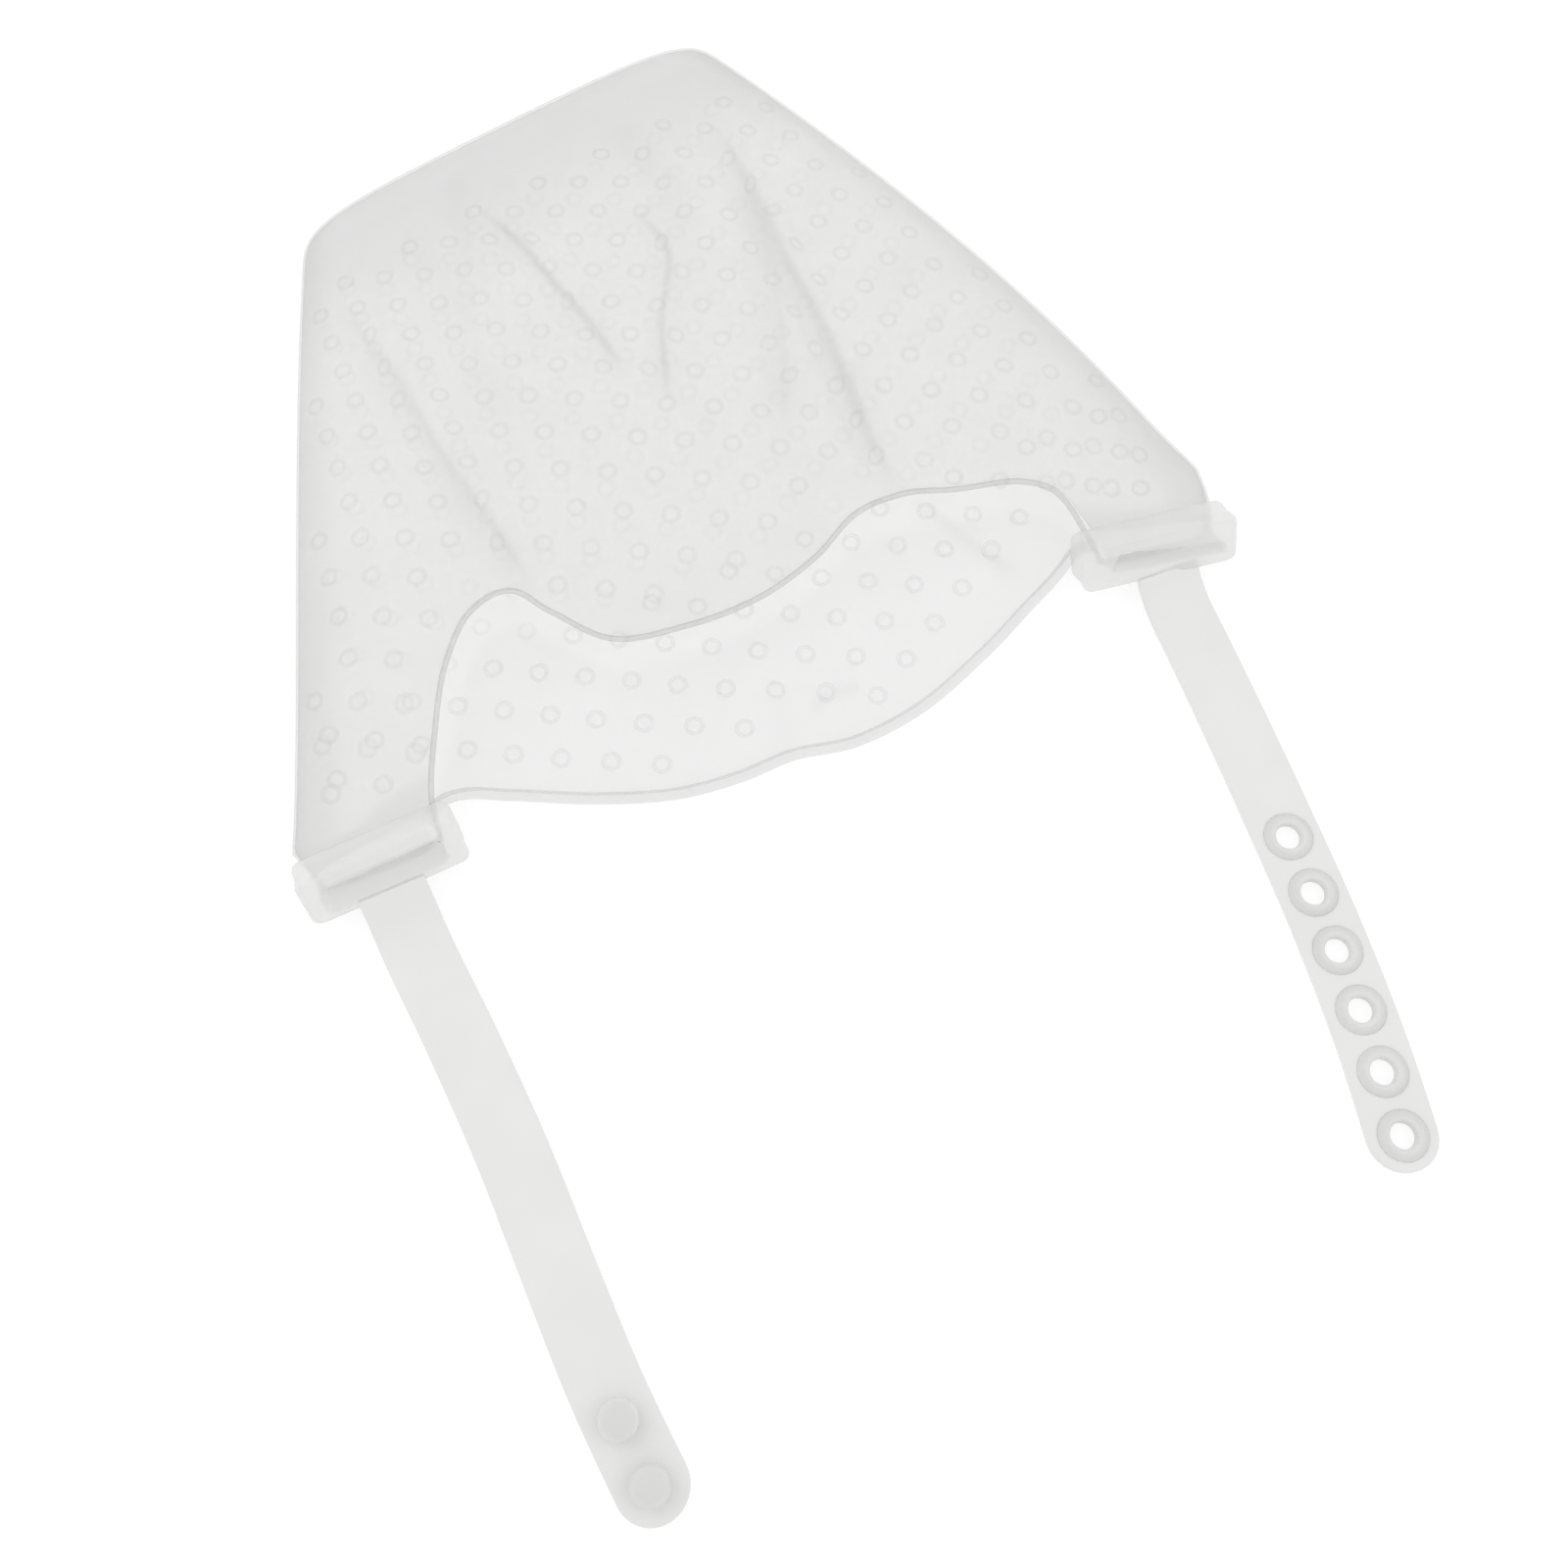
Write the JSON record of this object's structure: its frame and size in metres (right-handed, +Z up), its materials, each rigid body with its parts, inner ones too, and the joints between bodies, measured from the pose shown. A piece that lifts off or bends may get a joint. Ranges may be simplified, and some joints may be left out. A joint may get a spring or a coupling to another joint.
{
  "type": "highlighting cap",
  "caption": "Soft translucent hair highlighting cap lying flat: two-layer hood with guide rings, thick strap cuffs, and chin straps with snap studs and eyelets.",
  "frame": {"origin": "bottom centre of the whole cap as it lies flat on a table", "axes": "+X across the cap towards the eyelet strap side, +Y from the chin straps to the crown, +Z up from the table"},
  "size_m": [0.2496, 0.3666, 0.0204],
  "materials": {
    "silicone_skin": "satin translucent milky silicone, thin wall",
    "silicone_thick": "satin translucent milky silicone, thick sections",
    "silicone_strap": "satin translucent milky silicone, flat strap"
  },
  "bodies": {
    "hood": {"front_panel": "silicone_skin", "back_panel": "silicone_skin", "front_rim": "silicone_thick", "nape_rim": "silicone_thick", "left_cuff": "silicone_thick", "right_cuff": "silicone_thick", "stud_strap_root": "silicone_strap", "eyelet_strap_root": "silicone_strap"},
    "stud_strap_1": {"stud_strap_1": "silicone_strap"},
    "stud_strap_2": {"stud_strap_2": "silicone_strap"},
    "stud_strap_3": {"stud_strap_3": "silicone_strap"},
    "stud_strap_4": {"stud_strap_4": "silicone_strap"},
    "stud_strap_5": {"stud_strap_5": "silicone_strap", "stud_1": "silicone_thick", "stud_2": "silicone_thick"},
    "eyelet_strap_1": {"eyelet_strap_1": "silicone_strap"},
    "eyelet_strap_2": {"eyelet_strap_2": "silicone_strap"},
    "eyelet_strap_3": {"eyelet_strap_3": "silicone_strap", "eyelet_1": "silicone_thick", "eyelet_2": "silicone_thick"},
    "eyelet_strap_4": {"eyelet_strap_4": "silicone_strap", "eyelet_3": "silicone_thick", "eyelet_4": "silicone_thick"},
    "eyelet_strap_5": {"eyelet_strap_5": "silicone_strap", "eyelet_5": "silicone_thick", "eyelet_6": "silicone_thick"}
  },
  "joints": [
    {"name": "stud_strap_root_flex", "type": "hinge", "parent": "hood", "child": "stud_strap_1", "pos_m": [-0.10506, -0.03755, 0.001], "axis": [-0.9995, -0.0332, 0], "range_deg": [-60, 70], "stiffness_Nm_per_rad": 0.0005},
    {"name": "stud_strap_curl", "type": "hinge", "parent": "stud_strap_1", "child": "stud_strap_2", "pos_m": [-0.10338, -0.0629, 0.001], "axis": [-0.9985, -0.0541, 0], "range_deg": [-25, 36], "stiffness_Nm_per_rad": 0.0005},
    {"name": "stud_strap_curl_3", "type": "hinge", "parent": "stud_strap_2", "child": "stud_strap_3", "pos_m": [-0.10218, -0.09137, 0.001], "axis": [-0.9998, -0.0192, 0], "range_deg": [-25, 36], "stiffness_Nm_per_rad": 0.0005},
    {"name": "stud_strap_curl_4", "type": "hinge", "parent": "stud_strap_3", "child": "stud_strap_4", "pos_m": [-0.10229, -0.12087, 0.001], "axis": [-1, 0, 0], "range_deg": [-25, 36], "stiffness_Nm_per_rad": 0.0005},
    {"name": "stud_strap_curl_5", "type": "hinge", "parent": "stud_strap_4", "child": "stud_strap_5", "pos_m": [-0.10219, -0.14787, 0.001], "axis": [-0.9995, -0.0332, 0], "range_deg": [-25, 36], "stiffness_Nm_per_rad": 0.0005},
    {"name": "eyelet_strap_root_flex", "type": "hinge", "parent": "hood", "child": "eyelet_strap_1", "pos_m": [0.10358, -0.04164, 0.001], "axis": [-0.9972, 0.075, 0], "range_deg": [-60, 70], "stiffness_Nm_per_rad": 0.0005},
    {"name": "eyelet_strap_curl", "type": "hinge", "parent": "eyelet_strap_1", "child": "eyelet_strap_2", "pos_m": [0.101, -0.06791, 0.001], "axis": [-0.9943, 0.1063, 0], "range_deg": [-25, 36], "stiffness_Nm_per_rad": 0.0005},
    {"name": "eyelet_strap_curl_3", "type": "hinge", "parent": "eyelet_strap_2", "child": "eyelet_strap_3", "pos_m": [0.09787, -0.09503, 0.001], "axis": [-0.9923, 0.1236, 0], "range_deg": [-25, 36], "stiffness_Nm_per_rad": 0.0005},
    {"name": "eyelet_strap_curl_4", "type": "hinge", "parent": "eyelet_strap_3", "child": "eyelet_strap_4", "pos_m": [0.09395, -0.12437, 0.001], "axis": [-0.9877, 0.1564, 0], "range_deg": [-25, 36], "stiffness_Nm_per_rad": 0.0005},
    {"name": "eyelet_strap_curl_5", "type": "hinge", "parent": "eyelet_strap_4", "child": "eyelet_strap_5", "pos_m": [0.08861, -0.15348, 0.001], "axis": [-0.9774, 0.2113, 0], "range_deg": [-25, 36], "stiffness_Nm_per_rad": 0.0005}
  ],
  "couplings": [
    {"joint": "stud_strap_curl_3", "follows": "stud_strap_curl", "ratio": 1},
    {"joint": "stud_strap_curl_4", "follows": "stud_strap_curl", "ratio": 1},
    {"joint": "stud_strap_curl_5", "follows": "stud_strap_curl", "ratio": 1},
    {"joint": "eyelet_strap_curl_3", "follows": "eyelet_strap_curl", "ratio": 1},
    {"joint": "eyelet_strap_curl_4", "follows": "eyelet_strap_curl", "ratio": 1},
    {"joint": "eyelet_strap_curl_5", "follows": "eyelet_strap_curl", "ratio": 1}
  ]
}
